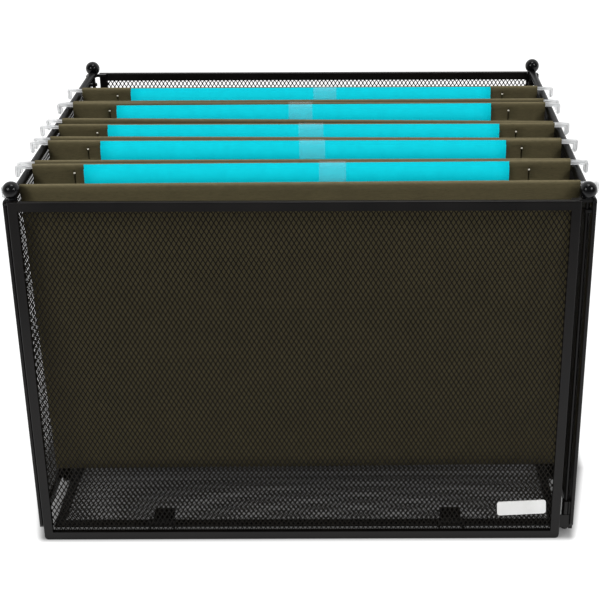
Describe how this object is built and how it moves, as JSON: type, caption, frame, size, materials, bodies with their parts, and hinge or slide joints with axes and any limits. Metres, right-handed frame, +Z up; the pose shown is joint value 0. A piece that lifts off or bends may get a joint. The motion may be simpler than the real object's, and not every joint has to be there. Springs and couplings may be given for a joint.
{
  "type": "portable file box",
  "caption": "Open-topped file box with black wire-net walls pinned at ball-topped corner rods, a hinged net floor and hanging folders on its side rails.",
  "frame": {"origin": "centre of the footprint, on the surface that the box stands on", "axes": "+Z up, front wall with the hinged floor and the label plate at -Y, X along the front wall"},
  "size_m": [0.404, 0.33, 0.2805],
  "materials": {
    "frame_steel": "satin black powder coat",
    "net_steel": "satin black powder coat on expanded net",
    "white_plate": "plain white, bare",
    "olive_board": "uncoated olive board",
    "clear_rod": "clear moulded plastic",
    "cyan_card": "smooth cyan card",
    "clear_tape": "clear tape"
  },
  "bodies": {
    "frame": {"front_frame": "frame_steel", "front_net": "net_steel", "front_hinges": "frame_steel", "floor_hinge_ears": "frame_steel", "floor_hinge_pins": "frame_steel", "back_frame": "frame_steel", "back_net": "net_steel", "back_hinges": "frame_steel", "left_frame": "frame_steel", "left_net": "net_steel", "left_rail": "frame_steel", "left_hinges": "frame_steel", "right_frame": "frame_steel", "right_net": "net_steel", "right_rail": "frame_steel", "right_hinges": "frame_steel", "rod_front_left": "frame_steel", "rod_front_right": "frame_steel", "rod_rear_left": "frame_steel", "rod_rear_right": "frame_steel", "ball_front_left": "frame_steel", "ball_front_right": "frame_steel", "ball_rear_left": "frame_steel", "ball_rear_right": "frame_steel", "floor_ledges": "frame_steel", "label_plate": "white_plate"},
    "floor": {"floor_frame": "frame_steel", "floor_net": "net_steel", "floor_straps": "frame_steel"},
    "folder_1": {"folder_1_sheet": "olive_board", "folder_1_front_rod": "clear_rod", "folder_1_back_rod": "clear_rod", "insert_1": "cyan_card", "tape_1": "clear_tape"},
    "folder_2": {"folder_2_sheet": "olive_board", "folder_2_front_rod": "clear_rod", "folder_2_back_rod": "clear_rod", "insert_2": "cyan_card", "tape_2": "clear_tape"},
    "folder_3": {"folder_3_sheet": "olive_board", "folder_3_front_rod": "clear_rod", "folder_3_back_rod": "clear_rod", "insert_3": "cyan_card", "tape_3": "clear_tape"},
    "folder_4": {"folder_4_sheet": "olive_board", "folder_4_front_rod": "clear_rod", "folder_4_back_rod": "clear_rod", "insert_4": "cyan_card", "tape_4": "clear_tape"},
    "folder_5": {"folder_5_sheet": "olive_board", "folder_5_front_rod": "clear_rod", "folder_5_back_rod": "clear_rod", "insert_5": "cyan_card", "tape_5": "clear_tape"}
  },
  "joints": [
    {"name": "floor_swing", "type": "hinge", "parent": "frame", "child": "floor", "pos_m": [0, -0.1585, 0.0118], "axis": [1, 0, 0], "range_deg": [0, 7]},
    {"name": "folder_1_lift", "type": "slide", "parent": "frame", "child": "folder_1", "axis": [0, 0, 1], "range_m": [0, 0.24]},
    {"name": "folder_2_lift", "type": "slide", "parent": "frame", "child": "folder_2", "axis": [0, 0, 1], "range_m": [0, 0.24]},
    {"name": "folder_3_lift", "type": "slide", "parent": "frame", "child": "folder_3", "axis": [0, 0, 1], "range_m": [0, 0.24]},
    {"name": "folder_4_lift", "type": "slide", "parent": "frame", "child": "folder_4", "axis": [0, 0, 1], "range_m": [0, 0.24]},
    {"name": "folder_5_lift", "type": "slide", "parent": "frame", "child": "folder_5", "axis": [0, 0, 1], "range_m": [0, 0.24]}
  ]
}
